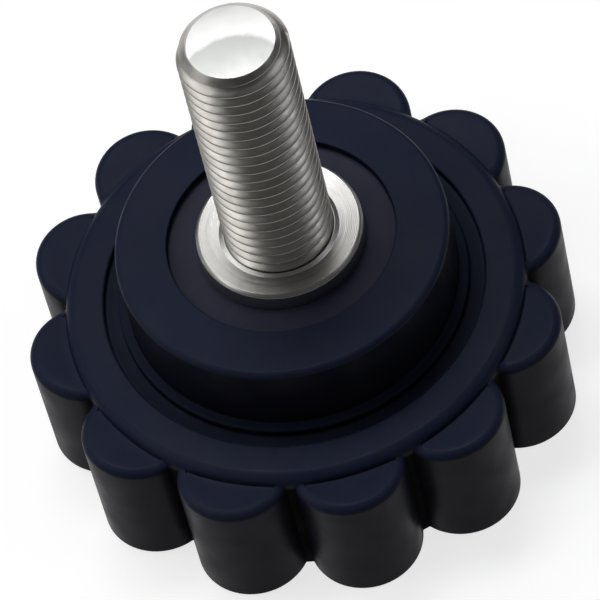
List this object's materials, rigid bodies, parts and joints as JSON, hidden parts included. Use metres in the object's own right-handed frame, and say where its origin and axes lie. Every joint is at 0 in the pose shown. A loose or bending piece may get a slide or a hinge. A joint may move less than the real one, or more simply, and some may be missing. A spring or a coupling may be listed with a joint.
{
  "type": "nylon head screw",
  "caption": "Black nylon hand knob with a scalloped lobed rim and a raised round hub, moulded round a flanged metal bush that carries a threaded steel stud.",
  "frame": {"origin": "centre of the flat end of the head, on the surface that it stands on", "axes": "+Z along the stud, from the head to the stud's tip; +X through the middle of one lobe"},
  "size_m": [0.05, 0.05, 0.051],
  "materials": {
    "nylon": "moulded nylon, blue-black, fine matt skin with a soft sheen",
    "bush_metal": "turned face with fine concentric marks",
    "stud_steel": "rolled thread, bright zinc plate, slightly warm"
  },
  "bodies": {
    "root": {"head": "nylon", "bush": "bush_metal", "stud": "stud_steel"}
  },
  "joints": []
}
